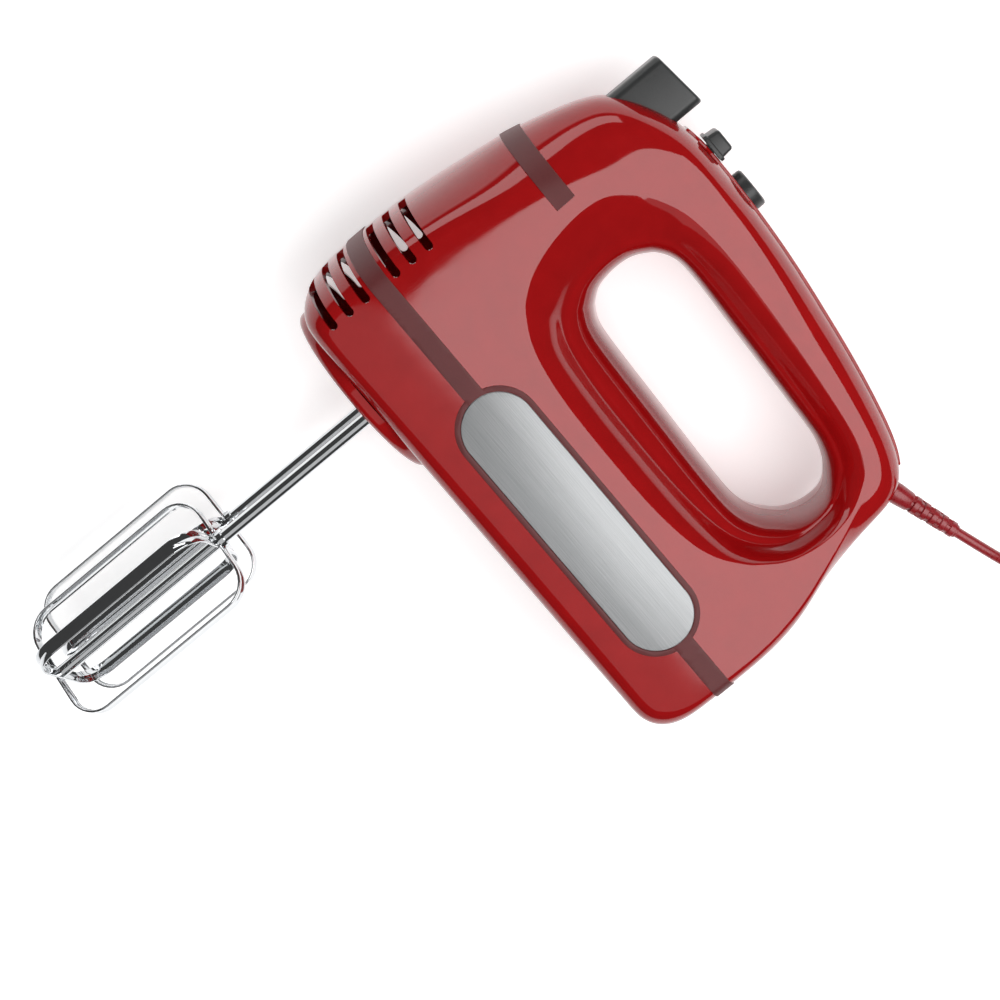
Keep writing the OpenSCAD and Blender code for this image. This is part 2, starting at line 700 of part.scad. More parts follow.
// ---- Beaters, each about its own axis along y ----
module beater_place(side) { translate([beater_x, 0, side * beater_gap / 2]) children(); }
head_top = -collar_h - neck_len;
module beater_shaft(side) {
  place() beater_place(side) rotate([-90, 0, 0]) translate([0, 0, tip_y + 2 * blade_t])
    cylinder(d = shaft_d, h = shank_top - tip_y - 2 * blade_t);
}
module right_beater_shaft() { color("silver") beater_shaft(-1); }
module left_beater_shaft() { color("silver") beater_shaft(1); }
// Half of a bent strip: from the shaft out, round, down, round and in to the tip
bend_r = 11;
function strip_path(r, high, low) = concat(
  [[0, high]],
  [for (a = [90 : -15 : 0]) [r - bend_r, high - bend_r] + bend_r * [cos(a), sin(a)]],
  [for (a = [0 : -15 : -90]) [r - bend_r, low + bend_r] + bend_r * [cos(a), sin(a)]],
  [[0, low]]);
function strip_inner(r, high, low) = let (b = bend_r - blade_t) concat(
  [[0, high - blade_t]],
  [for (a = [90 : -15 : 0]) [r - bend_r, high - bend_r] + b * [cos(a), sin(a)]],
  [for (a = [0 : -15 : -90]) [r - bend_r, low + bend_r] + b * [cos(a), sin(a)]],
  [[0, low + blade_t]]);
blade_phase = [15, 30];
module blade_loop(side, turn, top, low) {
  inner = strip_inner(beater_r, top, low);
  outer = strip_path(beater_r, top, low);
  place() beater_place(side) rotate([0, (side > 0 ? -blade_phase[1] : -blade_phase[0]) - turn, 0])
    difference() {
      translate([0, 0, -blade_w / 2]) linear_extrude(blade_w) union() {
        polygon(concat(outer, [for (k = [len(inner) - 1 : -1 : 0]) inner[k]]));
        mirror([1, 0, 0]) polygon(concat(outer, [for (k = [len(inner) - 1 : -1 : 0]) inner[k]]));
      }
      translate([0, tip_y + 2 * blade_t, 0]) rotate([-90, 0, 0]) cylinder(d = shaft_d, h = 200);
    }
}
module right_wide_blade() { color("silver") blade_loop(-1, 0, head_top, tip_y); }
module left_wide_blade() { color("silver") blade_loop(1, 0, head_top, tip_y); }
module right_cross_blade() {
  color("silver") blade_loop(-1, 90, head_top - blade_t, tip_y + blade_t);
}
module left_cross_blade() {
  color("silver") blade_loop(1, 90, head_top - blade_t, tip_y + blade_t);
}
module beater_collar(side) {
  place() beater_place(side) rotate([-90, 0, 0]) difference() {
    translate([0, 0, head_top]) cylinder(d = shaft_d + 2, h = 2);
    translate([0, 0, head_top - 1]) cylinder(d = shaft_d, h = 5);
  }
}
module right_beater_collar() { color("silver") beater_collar(-1); }
module left_beater_collar() { color("silver") beater_collar(1); }

module housing_screws() {
  color(steel) place() for (p = posts) translate([p[0], p[1], 0]) {
    deep = half_at(p) - 5;
    translate([0, 0, -deep]) cylinder(r = screw_r, h = deep + 10, $fn = 24);
    translate([0, 0, -deep - 2]) cylinder(r = screw_head_r, h = 2, $fn = 24);
  }
}

// ---- Cord ----
rib_n = 5;
rib_from = 8.6;
rib_pitch = 4.1;
module relief_place() {
  translate([relief_base[0], relief_base[1], 0]) rotate([0, 0, relief_turn])
    rotate([0, 90, 0]) children();
}
module strain_relief() {
  color("#9c2a30") place() relief_place() difference() {
    union() {
      translate([0, 0, -8]) cylinder(r = relief_r + 0.5, h = 10);
      translate([0, 0, 2]) cylinder(r1 = relief_r + 0.5, r2 = relief_r, h = 5.5);
      translate([0, 0, 7.5]) cylinder(r = relief_core_r, h = relief_len - 7.5);
      for (k = [0 : rib_n - 1]) translate([0, 0, rib_from + rib_pitch * k])
        cylinder(r = relief_r - 0.1 - 0.12 * k, h = 2.4);
    }
    translate([0, 0, -9]) cylinder(r = cord_d / 2, h = relief_len + 10);
  }
}
module cord_clamp() {
  color("#c9c9c4") place() relief_place() difference() {
    translate([-5, -4.5, -13]) cube([10, 9, 3.5]);
    translate([0, 0, -14]) cylinder(r = cord_d / 2, h = 6);
  }
}
// The cord lies in the placed frame, on the surface that the mixer rests on.
// Its points are relative to the end of the strain relief.
floor_z = cord_d / 2 - lift + 0.25;
cord_start = [relief_end[0], relief_end[1], 0];
cord_points = [[0, 0, 0], [9, 3, 0], [18, 6, -1], [27, 9, -4.5], [35, 11.5, -11],
  [41, 13.5, -20], [46, 15, -30], [53, 17, -37], [61, 19.5, floor_z], [69, 21.5, floor_z],
  [76.9, 24.7, floor_z]];
coil_at = [62, 46, 0];
plug_t = 13.7;
plug_w = 33;
plug_len = 30;
coil_layers = 4;
coil_h = (coil_layers + 0.1) * cord_d;
plug_mid = plug_t / 2 - lift;
tail_points = [[88, 46, plug_mid + 7.4], [88, 54, plug_mid + 6], [88, 62, plug_mid + 3.6],
  [88, 70, plug_mid + 1.2], [88, 78, plug_mid]];
module sweep(path, r) {
  n = len(path);
  sides_n = 10;
  points = [for (i = [0 : n - 1])
    let (t0 = path[min(i + 1, n - 1)] - path[max(i - 1, 0)], t = t0 / norm(t0),
         u0 = cross([0, 0, 1], t), u = norm(u0) < 0.01 ? [1, 0, 0] : u0 / norm(u0),
         v = cross(t, u))
    each [for (k = [0 : sides_n - 1]) let (a = 360 * k / sides_n)
      path[i] + r * (u * cos(a) + v * sin(a))]];
  polyhedron(points = points,
    faces = concat(
      [for (i = [0 : n - 2], k = [0 : sides_n - 1])
        let (a = i * sides_n + k, b = i * sides_n + (k + 1) % sides_n)
        each [[a, a + sides_n, b + sides_n], [a, b + sides_n, b]]],
      [[for (k = [0 : sides_n - 1]) k]],
      [[for (k = [sides_n - 1 : -1 : 0]) (n - 1) * sides_n + k]]),
    convexity = 6);
}
module power_cord() {
  color("#9c2a30") place() translate(cord_start) {
    sweep(spline(cord_points, 3), cord_d / 2);
    sweep(spline(tail_points, 2), cord_d / 2);
  }
}
// Three cords lie side by side across the ring
coil_half = 3 * cord_d / 2;
tie_t = 0.8;
module cord_coil() {
  color("#9c2a30") place() translate(cord_start + [coil_at[0], coil_at[1], -lift])
    rotate_extrude($fn = 72) translate([coil_r - coil_half, 0]) square([2 * coil_half, coil_h]);
}
module cord_tie() {
  color("#d8d8d4") place() translate(cord_start + [coil_at[0], coil_at[1] + coil_r, -lift])
    difference() {
      translate([-3, -coil_half - 1 - tie_t, 0])
        cube([6, 2 * coil_half + 2 + 2 * tie_t, coil_h + tie_t]);
      translate([-4, -coil_half - 1, -1]) cube([8, 2 * coil_half + 2, coil_h + 1]);
    }
}
plug_at = [88, 78, 0];
module plug_body() {
  color("#9c2a30") place() translate(cord_start + [plug_at[0], plug_at[1], -lift])
    linear_extrude(plug_t) polygon([[-4, 0], [4, 0], [plug_w / 2 - 3, 9], [plug_w / 2, 14],
      [plug_w / 2, plug_len], [-plug_w / 2, plug_len], [-plug_w / 2, 14], [3 - plug_w / 2, 9]]);
}
module plug_pins() {
  color("silver") place() translate(cord_start + [plug_at[0], plug_at[1] + plug_len, -lift + plug_t / 2])
    for (s = [-1, 1]) translate([s * pin_gap / 2, 0, 0]) rotate([-90, 0, 0])
      cylinder(d = pin_d, h = pin_len);
}

right_shell();
left_shell();
nose_plate();
handle_cover();
right_trim_plate();
left_trim_plate();
right_trim_border();
left_trim_border();
right_lower_band();
left_lower_band();
right_upper_band();
left_upper_band();
eject_button();
ejector_frame();
eject_spring();
spring_seat();
speed_slider();
speed_switch();
turbo_button();
turbo_spring();
turbo_switch();
speed_board();
stator_core();
field_coils();
armature_core();
armature_windings();
commutator();
motor_shaft();
drive_worm();
cooling_fan();
front_bearing();
rear_bearing();
rear_bracket();
brush_holders();
carbon_brushes();
gearbox_frame();
right_gear();
left_gear();
right_beater_shaft();
left_beater_shaft();
right_wide_blade();
left_wide_blade();
right_cross_blade();
left_cross_blade();
right_beater_collar();
left_beater_collar();
housing_screws();
strain_relief();
cord_clamp();
power_cord();
cord_coil();
cord_tie();
plug_body();
plug_pins();
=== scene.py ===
"""Hand mixer: polished red ABS shells, brushed side plates and chromed beaters."""
import json
import math

import bmesh
import bpy
from mathutils import Matrix, Vector


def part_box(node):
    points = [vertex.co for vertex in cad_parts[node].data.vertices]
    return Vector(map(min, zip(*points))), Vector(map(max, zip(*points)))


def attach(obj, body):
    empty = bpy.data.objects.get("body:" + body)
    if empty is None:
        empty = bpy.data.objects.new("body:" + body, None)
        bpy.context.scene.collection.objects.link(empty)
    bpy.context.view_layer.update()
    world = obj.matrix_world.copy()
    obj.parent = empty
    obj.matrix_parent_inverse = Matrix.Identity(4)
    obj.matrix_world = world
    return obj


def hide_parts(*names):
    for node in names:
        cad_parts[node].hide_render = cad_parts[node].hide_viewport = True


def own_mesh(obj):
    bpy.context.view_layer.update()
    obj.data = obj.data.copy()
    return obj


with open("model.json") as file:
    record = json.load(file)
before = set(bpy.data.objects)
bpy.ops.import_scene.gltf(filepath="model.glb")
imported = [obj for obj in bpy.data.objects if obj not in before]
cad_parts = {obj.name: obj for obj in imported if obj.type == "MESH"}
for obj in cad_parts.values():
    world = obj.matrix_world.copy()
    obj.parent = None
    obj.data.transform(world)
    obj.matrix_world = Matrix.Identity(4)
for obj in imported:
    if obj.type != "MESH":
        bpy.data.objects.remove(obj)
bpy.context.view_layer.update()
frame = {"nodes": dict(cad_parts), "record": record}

# ---- Units and places ----
# Sizes are in millimetres from the nose (x), the underside (y) and the
# mid-plane (z), and place() turns them into the frame's metres.
MM = 0.001
NOSE_PLATE_X = 45.0
plate_low, plate_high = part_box("nose_plate")
ORIGIN = Vector((
    (plate_low[0] + plate_high[0]) / 2 - NOSE_PLATE_X * MM,
    plate_high[1],
    (plate_low[2] + plate_high[2]) / 2,
))
HALF_W = (ORIGIN.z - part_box("right_trim_plate")[0][2]) / MM - 0.6
HANDLE_HALF = 20.0  # half width of the handle
WALL = 2.4  # shell wall
SEAM = 0.12  # half the gap between the two shells
BEATER_X = 52.0
BEATER_Z = 17.0  # each beater's distance from the mid-plane
BAND_Y = 31.0  # middle of the waist band
TIP_Y = -157.3  # the beaters' lowest point
HEAD_TOP = -77.3  # top of the beaters' loops
SIDES = ((1, "left"), (-1, "right"))


def place(x, y, z=0.0):
    return ORIGIN + Vector((x, y, z)) * MM


# ---- Cord, in millimetres from the end of the strain relief ----
CORD_D = 4.0
RELIEF_TURN = math.radians(17.5)
RELIEF_LEN = 28.5
RELIEF_BASE = Vector((200.0, 122.5, 0.0))
RELIEF_AXIS = Vector((math.cos(RELIEF_TURN), math.sin(RELIEF_TURN), 0.0))
FLOOR_Z = CORD_D / 2 - ORIGIN.z / MM + 0.25
PLUG_MID = 13.7 / 2 - ORIGIN.z / MM
CORD_POINTS = [
    (0, 0, 0), (9, 3, 0), (18, 6, -1), (27, 9, -4.5), (35, 11.5, -11),
    (41, 13.5, -20), (46, 15, -30), (53, 17, -37), (61, 19.5, FLOOR_Z),
    (69, 21.5, FLOOR_Z), (76.9, 24.7, FLOOR_Z),
]
TAIL_POINTS = [
    (88, 46, PLUG_MID + 7.4), (88, 54, PLUG_MID + 6), (88, 62, PLUG_MID + 3.6),
    (88, 70, PLUG_MID + 1.2), (88, 78, PLUG_MID),
]
COIL_AT = (62.0, 46.0)
COIL_R = 22.0
COIL_LAYERS = 4
COIL_START = math.radians(-55)
COIL_TURNS = 8 + 55 / 360


def cord_place(p):
    end = RELIEF_BASE + RELIEF_AXIS * RELIEF_LEN
    return place(end.x + p[0], end.y + p[1], end.z + p[2])


# ---- Camera ----
def make_camera():
    """Looks down on the mixer's left side, rolled so the beaters point down left."""
    sideways, forwards = math.radians(9.486), math.radians(7.503)
    back = Vector((
        -math.sin(sideways) * math.cos(forwards),
        math.sin(forwards),
        math.cos(sideways) * math.cos(forwards),
    ))
    right = Vector((0, 1, 0)).cross(back).normalized()
    up = back.cross(right)
    roll = math.radians(50.741)
    across = right * math.cos(roll) + up * math.sin(roll)
    upwards = up * math.cos(roll) - right * math.sin(roll)
    bpy.ops.object.camera_add()
    camera = bpy.context.object
    camera.name = "camera"
    distance, view_width, sensor = 939.3, 370.0, 36
    camera.data.sensor_width = sensor
    camera.data.lens = sensor * distance * 0.997 / view_width
    turn = Matrix((across, upwards, back)).transposed().to_4x4()
    aim = place(108.87, 8.5)
    camera.matrix_world = Matrix.Translation(aim + back * distance * MM) @ turn
    camera.data.clip_start, camera.data.clip_end = 0.05, 20
    bpy.context.scene.camera = camera


make_camera()


# ---- Curves ----
def spline(points, n=4):
    """Smooth curve through points, each stretch cut in n."""
    p = [Vector(q) for q in points]
    out = []
    for i in range(len(p) - 1):
        a, b, c, d = p[max(i - 1, 0)], p[i], p[i + 1], p[min(i + 2, len(p) - 1)]
        for j in range(n):
            t = j / n
            out.append(0.5 * (2 * b + (c - a) * t + (2 * a - 5 * b + 4 * c - d) * t * t
                              + (3 * b - a - 3 * c + d) * t ** 3))
    return out + [p[-1]]


def even(points, n):
    """n points evenly along a curve, without its last."""
    run = [0.0]
    for a, b in zip(points, points[1:]):
        run.append(run[-1] + (b - a).length)
    out, i = [], 0
    for k in range(n):
        s = run[-1] * k / n
        while run[i + 1] < s:
            i += 1
        t = (s - run[i]) / max(run[i + 1] - run[i], 1e-9)
        out.append(points[i].lerp(points[i + 1], t))
    return out


def smooth(t):
    t = min(max(t, 0.0), 1.0)
    return t * t * (3 - 2 * t)


SIDE_COUNTS = (26, 16, 24, 18)


def closed(*sides):
    return [p for side, n in zip(sides, SIDE_COUNTS) for p in even(spline(side, 6), n)]


OUTLINE = closed(
    [(3.4, 5.2), (8, 1.4), (16, 0), (70, 0), (130, 0), (192, 0), (200, 0.4), (206, 3.6)],
    [(206, 3.6), (209.3, 9.5), (210, 18), (210, 42), (209.6, 56), (208, 68), (205.6, 76),
     (203.6, 84.6), (202.2, 93), (200.8, 102), (199.6, 112), (198.8, 119), (196.4, 126.4)],
    [(196.4, 126.4), (190, 131.6), (183, 134.6), (170, 138), (150, 141.8), (130, 144.6),
     (110, 147), (95, 148.2), (80, 148.9), (66, 149), (54, 148.7), (46, 147.6),
     (38, 145.2), (30, 141.3), (23, 137.1), (17, 131)],
    [(17, 131), (14.4, 125.6), (11.4, 117), (8.4, 106), (6, 96), (3, 76), (0.7, 57),
     (0, 42), (0, 28), (0.2, 18), (1.2, 10.4), (3.4, 5.2)])
SCOOP = closed(
    [(54, 64), (66, 57.5), (85, 53.8), (112, 52.8), (142, 53.4), (164, 57.5), (178, 67)],
    [(178, 67), (187, 79), (191, 93), (190, 107), (183, 119)],
    [(183, 119), (172, 124), (150, 127), (120, 129.3), (90, 130.4), (68, 128.5), (52, 121.5)],
    [(52, 121.5), (44.5, 112), (42.2, 100), (43.4, 86), (47.5, 73), (54, 64)])
LIP = closed(
    [(67.5, 72), (76, 67.5), (90, 65.5), (112, 64.6), (145, 64.8), (166, 67.5), (176, 72.5)],
    [(176, 72.5), (183.5, 81), (186.3, 92), (185, 104), (177, 114.5)],
    [(177, 114.5), (166, 118), (145, 119.5), (115, 120.6), (90, 120.9), (76, 119.3),
     (66.5, 113)],
    [(66.5, 113), (61.6, 104), (60.2, 94), (61.8, 82), (67.5, 72)])
NECK = closed(
    [(74.8, 82.4), (80, 79.4), (90, 78.3), (115, 77.4), (150, 76.2), (165, 76.8),
     (173, 80.4)],
    [(173, 80.4), (179.5, 87), (182.3, 95), (181, 103.5), (173.5, 110)],
    [(173.5, 110), (165, 112.8), (148, 113.6), (115, 114.8), (90, 115.6), (80, 114.6),
     (74, 110.6)],
    [(74, 110.6), (70.2, 104), (69.2, 96), (70.6, 88), (74.8, 82.4)])
SPOKES = len(OUTLINE)


def half_at(p):
    """Half width of the side at a place: full at the foot, narrow at the handle."""
    rise = smooth((p[1] - 50) / 80)
    front = smooth((90 - p[0]) / 50)
    return HALF_W - (HALF_W - HANDLE_HALF) * rise + 7 * front * rise * (1.6 - rise)


# How far the rounding reaches in from each edge, and the share of the half width
# at which it starts
ROUND_NOSE, ROUND_HEEL, ROUND_FOOT, ROUND_TOP = 25, 12, 8.5, 13
RISE_NOSE, RISE_HEEL, RISE_FOOT, RISE_TOP = 0.12, 0.68, 0.79, 0.2


def section(i, proud=0.0):
    """Points from the outer mid-plane edge over the side to the opening, on spoke i."""
    step = OUTLINE[(i + 1) % SPOKES] - OUTLINE[i - 1]
    normal = Vector((step.y, -step.x)).normalized()
    edge = OUTLINE[i] + proud * normal
    scoop, lip, neck = SCOOP[i], LIP[i], NECK[i]
    span = (scoop - edge).length
    inwards = (scoop - edge) / span
    nx, ny = normal.x ** 2, normal.y ** 2
    round_in = min(span * 0.8, nx * (ROUND_NOSE if normal.x < 0 else ROUND_HEEL)
                   + ny * (ROUND_FOOT if normal.y < 0 else ROUND_TOP) + proud / 2)
    rise = (nx * (RISE_NOSE if normal.x < 0 else RISE_HEEL)
            + ny * (RISE_FOOT if normal.y < 0 else RISE_TOP))
    flat = edge + round_in * inwards
    z = half_at(flat) + proud
    lip_z = half_at(scoop) * 0.7 + proud
    out = [(edge, SEAM)]
    for a in (0, 12, 25, 38, 52, 66, 79, 90):
        turn = math.radians(a)
        out.append((edge + round_in * (1 - math.cos(turn)) * inwards,
                    z * rise + z * (1 - rise) * math.sin(turn)))
    for t in (0.35, 0.68, 0.94, 1):
        q = flat.lerp(scoop, t)
        out.append((q, half_at(q) + proud))
    top = half_at(scoop) + proud
    for t in (0.08, 0.4, 0.75, 1):
        out.append((scoop.lerp(lip, t), top + (lip_z - top) * t * (0.4 + 0.6 * t)))
    for a in (9, 28, 48, 68):
        turn = math.radians(a)
        out.append((lip.lerp(neck, math.sin(turn)), lip_z * math.cos(turn)))
    out.append((neck, SEAM))
    return out


# ---- Modelling helpers ----
def clear():
    if bpy.context.object and bpy.context.object.mode != "OBJECT":
        bpy.ops.object.mode_set(mode="OBJECT")
    bpy.ops.object.select_all(action="DESELECT")


def only(obj):
    clear()
    obj.select_set(True)
    bpy.context.view_layer.objects.active = obj


def apply_modifier(obj, kind, **settings):
    only(obj)
    modifier = obj.modifiers.new(kind.lower(), kind)
    for key, value in settings.items():
        setattr(modifier, key, value)
    bpy.ops.object.modifier_apply(modifier=modifier.name)


def soften(obj, width, segments, angle=60):
    """Rounds every edge that is sharper than an angle."""
    apply_modifier(obj, "BEVEL", width=width * MM, segments=segments, limit_method="ANGLE",
                   angle_limit=math.radians(angle))


def edit_all(obj, operator, **settings):
    """Runs one edit-mode operator on the whole of a mesh."""
    only(obj)
    bpy.ops.object.mode_set(mode="EDIT")
    bpy.ops.mesh.select_all(action="SELECT")
    operator(**settings)
    bpy.ops.object.mode_set(mode="OBJECT")


def settle(obj, name, angle):
    """Names a finished piece, puts its place in its mesh and smooths it."""
    only(obj)
    obj.name = obj.data.name = name
    bpy.ops.object.transform_apply(location=True, rotation=True, scale=True)
    bpy.ops.object.shade_smooth_by_angle(angle=math.radians(angle))


def recalculate(obj, threshold=1e-6):
    edit_all(obj, bpy.ops.mesh.remove_doubles, threshold=threshold)
    edit_all(obj, bpy.ops.mesh.normals_make_consistent, inside=False)


def open_ring(mesh):
    """Takes out the edge between a ring's last point and its first."""
    last, first = mesh.verts[-1], mesh.verts[0]
    mesh.edges.remove(next(e for e in last.link_edges if e.other_vert(last) == first))


def loft(name, rings, ring_closed=True):
    """Extrudes a ring of edges from place to place."""
    n = len(rings[0])
    clear()
    bpy.ops.mesh.primitive_circle_add(vertices=n, fill_type="NOTHING")
    obj = bpy.context.object
    obj.name = name
    bpy.ops.object.mode_set(mode="EDIT")
    mesh = bmesh.from_edit_mesh(obj.data)
    mesh.verts.ensure_lookup_table()
    for v, p in zip(mesh.verts, rings[0]):
        v.co = p
    if not ring_closed:
        open_ring(mesh)
    row = {k: k for k in range(n)}
    for ring in rings[1:]:
        bpy.ops.mesh.extrude_edges_indiv()
        mesh = bmesh.from_edit_mesh(obj.data)
        mesh.verts.index_update()
        new_row = {}
        for v in [v for v in mesh.verts if v.select]:
            old = next(e.other_vert(v) for e in v.link_edges if not e.other_vert(v).select)
            new_row[v.index] = row[old.index]
            v.co = ring[row[old.index]]
        row = new_row
    bmesh.update_edit_mesh(obj.data)
    bpy.ops.object.mode_set(mode="OBJECT")
    return obj


def side_surface(name, side, proud=0.0, levels=2):
    """The moulded outer surface of one half: side 1 is left, -1 right."""
    sections = [section(i, proud) for i in range(SPOKES)]
    rings = [[place(s[k][0].x, s[k][0].y, side * s[k][1]) for s in sections]
             for k in range(len(sections[0]))]
    obj = loft(name, rings)
    recalculate(obj)
    # The surface is open, so its normals are turned to face the mixer's outside.
    face = max(obj.data.polygons, key=lambda f: side * f.center.z)
    if face.normal.z * side < 0:
        edit_all(obj, bpy.ops.mesh.flip_normals)
    apply_modifier(obj, "SUBSURF", levels=levels, render_levels=levels)
    return obj


def bisect(obj, point, normal):
    """Keeps what lies behind a plane."""
    edit_all(obj, bpy.ops.mesh.bisect, plane_co=point, plane_no=normal, clear_outer=True)


def block(x0, x1, y0, y1, z0, z1):
    clear()
    low, high = place(x0, y0, z0), place(x1, y1, z1)
    bpy.ops.mesh.primitive_cube_add(size=1, location=(low + high) / 2)
    obj = bpy.context.object
    obj.dimensions = [abs(c) for c in high - low]
    bpy.ops.object.transform_apply(location=True, rotation=True, scale=True)
    return obj


def bevel_where(obj, test, width, segments=6):
    """Bevels the edges that pass a test on their middle and direction."""
    only(obj)
    bpy.ops.object.mode_set(mode="EDIT")
    bpy.ops.mesh.select_mode(type="EDGE")
    bpy.ops.mesh.select_all(action="DESELECT")
    mesh = bmesh.from_edit_mesh(obj.data)
    for e in mesh.edges:
        a, b = e.verts[0].co, e.verts[1].co
        if test(((a + b) / 2 - ORIGIN) / MM, (b - a).normalized()):
            e.select_set(True)
    bmesh.update_edit_mesh(obj.data)
    bpy.ops.mesh.bevel(offset=width * MM, offset_type="OFFSET", segments=segments,
                       affect="EDGES", clamp_overlap=True)
    bpy.ops.object.mode_set(mode="OBJECT")


def stadium(x0, x1, y0, y1, z0, z1):
    """A block whose ends are rounded to half circles in the x-y plane."""
    obj = block(x0, x1, y0, y1, min(z0, z1), max(z0, z1))
    bevel_where(obj, lambda m, d: abs(d.z) > 0.9, (y1 - y0) / 2 - 0.02, 20)
    recalculate(obj)
    return obj


def join(parts):
    clear()
    for p in parts:
        p.select_set(True)
    bpy.context.view_layer.objects.active = parts[0]
    bpy.ops.object.join()
    return bpy.context.object


def cut(obj, cutter):
    apply_modifier(obj, "BOOLEAN", object=cutter, operation="DIFFERENCE", solver="EXACT")
    bpy.data.objects.remove(cutter, do_unlink=True)


def lathe(name, profile, base, axis, steps=64):
    """Spins a profile of (radius, height) round an axis from base."""
    axis = Vector(axis).normalized()
    across = axis.orthogonal().normalized()
    clear()
    bpy.ops.mesh.primitive_circle_add(vertices=len(profile), fill_type="NOTHING")
    obj = bpy.context.object
    bpy.ops.object.mode_set(mode="EDIT")
    mesh = bmesh.from_edit_mesh(obj.data)
    mesh.verts.ensure_lookup_table()
    for v, (r, h) in zip(mesh.verts, profile):
        v.co = base + (across * r + axis * h) * MM
    open_ring(mesh)
    bmesh.update_edit_mesh(obj.data)
    bpy.ops.mesh.select_all(action="SELECT")
    bpy.ops.mesh.spin(steps=steps, angle=2 * math.pi, center=base, axis=axis)
    bpy.ops.object.mode_set(mode="OBJECT")
    recalculate(obj, 2e-6)
    obj.name = name
    return obj


def cylinder(radius, depth, at, vertices=48, turned=(math.pi / 2, 0, 0)):
    """A plain cutter, lying along y unless it is turned otherwise."""
    clear()
    bpy.ops.mesh.primitive_cylinder_add(vertices=vertices, radius=radius * MM,
                                        depth=depth * MM, location=at, rotation=turned)
    return bpy.context.object


# ---- Materials ----
def srgb(code):
    """sRGB hex to linear colour."""
    parts = [int(code[i:i + 2], 16) / 255 for i in (1, 3, 5)]
    linear = [c / 12.92 if c <= 0.04045 else ((c + 0.055) / 1.055) ** 2.4 for c in parts]
    return (*linear, 1.0)


def add_node(tree, kind, inputs=None, links=None, **settings):
    """Adds a node with its settings, its socket values and its incoming links."""
    node = tree.nodes.new(kind)
    for key, value in settings.items():
        setattr(node, key, value)
    for key, value in (inputs or {}).items():
        node.inputs[key].default_value = value
    for key, source in (links or {}).items():
        tree.links.new(source, node.inputs[key])
    return node


def material(name, light, dark, roughness, grain_mm, depth_mm, stretch=(1, 1, 1),
             spread=0.0, **sockets):
    """A solid whose colour, gloss and surface follow one grain of a real size."""
    mat = bpy.data.materials.new(name)
    mat.use_nodes = True
    tree = mat.node_tree
    shader = tree.nodes["Principled BSDF"]
    coords = add_node(tree, "ShaderNodeTexCoord")
    mapping = add_node(tree, "ShaderNodeMapping", {"Scale": stretch},
                       {"Vector": coords.outputs["Object"]})
    grain = add_node(tree, "ShaderNodeTexNoise",
                     {"Scale": 1 / (grain_mm * MM), "Detail": 3.0, "Roughness": 0.55},
                     {"Vector": mapping.outputs["Vector"]})
    cloud = add_node(tree, "ShaderNodeTexNoise", {"Scale": 1 / (grain_mm * 24 * MM)},
                     {"Vector": mapping.outputs["Vector"]})
    tone = add_node(tree, "ShaderNodeMath",
                    {}, {0: grain.outputs["Fac"], 1: cloud.outputs["Fac"]},
                    operation="MULTIPLY")
    ramp = add_node(tree, "ShaderNodeMapRange",
                    {"From Min": 0.1, "From Max": 0.42}, {"Value": tone.outputs[0]})
    colour = add_node(tree, "ShaderNodeMix", {6: srgb(dark), 7: srgb(light)},
                      {0: ramp.outputs[0]}, data_type="RGBA")
    tree.links.new(colour.outputs[2], shader.inputs["Base Color"])
    gloss = add_node(tree, "ShaderNodeMapRange",
                     {"To Min": roughness - spread, "To Max": roughness + spread},
                     {"Value": grain.outputs["Fac"]})
    tree.links.new(gloss.outputs[0], shader.inputs["Roughness"])
    bump = add_node(tree, "ShaderNodeBump", {"Strength": 1.0, "Distance": depth_mm * MM},
                    {"Height": grain.outputs["Fac"]})
    tree.links.new(bump.outputs["Normal"], shader.inputs["Normal"])
    for key, value in sockets.items():
        shader.inputs[key.replace("_", " ")].default_value = value
    return mat


# Polished ABS: glass-smooth from a mirror-finished mould, with a faint orange peel
red_abs = material("polished_abs_red", "#980E10", "#8C0B0D", 0.06, 9.0, 0.008,
                   spread=0.015, IOR=1.52)
# Satin ABS trim: same plastic from an etched mould, so its highlights are soft
burgundy_abs = material("satin_abs_burgundy", "#5C2526", "#532021", 0.55, 0.8, 0.01,
                        spread=0.05, IOR=1.5)
# Spark-eroded ABS: the buttons' fine matt grain, about a third of a millimetre
grey_abs = material("spark_eroded_abs_grey", "#2F3030", "#292A2A", 0.36, 0.5, 0.03,
                    spread=0.06, IOR=1.5)
# Brushed steel: long scratches along the plate, drawn coarse enough to show
brushed = material("brushed_stainless_steel", "#C4C5C6", "#9C9E9F", 0.5, 0.4, 0.03,
                   stretch=(0.02, 1, 1), spread=0.12, Metallic=1.0)
# Chrome plate on steel wire: bright and nearly flawless
chrome = material("bright_chrome_plate", "#D9DBDD", "#D2D4D6", 0.05, 3.0, 0.002,
                  spread=0.02, Metallic=1.0)
# Flexible PVC: soft sheen and a fine extruded skin
pvc = material("flexible_pvc_red", "#8E2026", "#7E191E", 0.28, 0.7, 0.01,
               spread=0.05, IOR=1.53)
# Nickel plate on brass pins: warm white and lightly polished
nickel = material("nickel_plated_brass", "#D9D4C8", "#C8C2B4", 0.2, 1.5, 0.004,
                  spread=0.04, Metallic=1.0)
# Natural nylon: cream white and waxy, as moulded
nylon = material("natural_nylon", "#DEDAC9", "#D0CBB8", 0.5, 0.9, 0.02, spread=0.05)
# Enamelled copper wire: fine ridges side by side under a clear brown coat
copper = material("enamelled_copper_wire", "#B4602C", "#8F431A", 0.3, 0.35, 0.08,
                  stretch=(1, 0.1, 0.1), spread=0.05, Metallic=1.0)
# Turned brass: yellow, with faint tool rings
brass = material("turned_brass", "#C9A14E", "#AE8A3E", 0.3, 0.6, 0.01, spread=0.05,
                 Metallic=1.0)
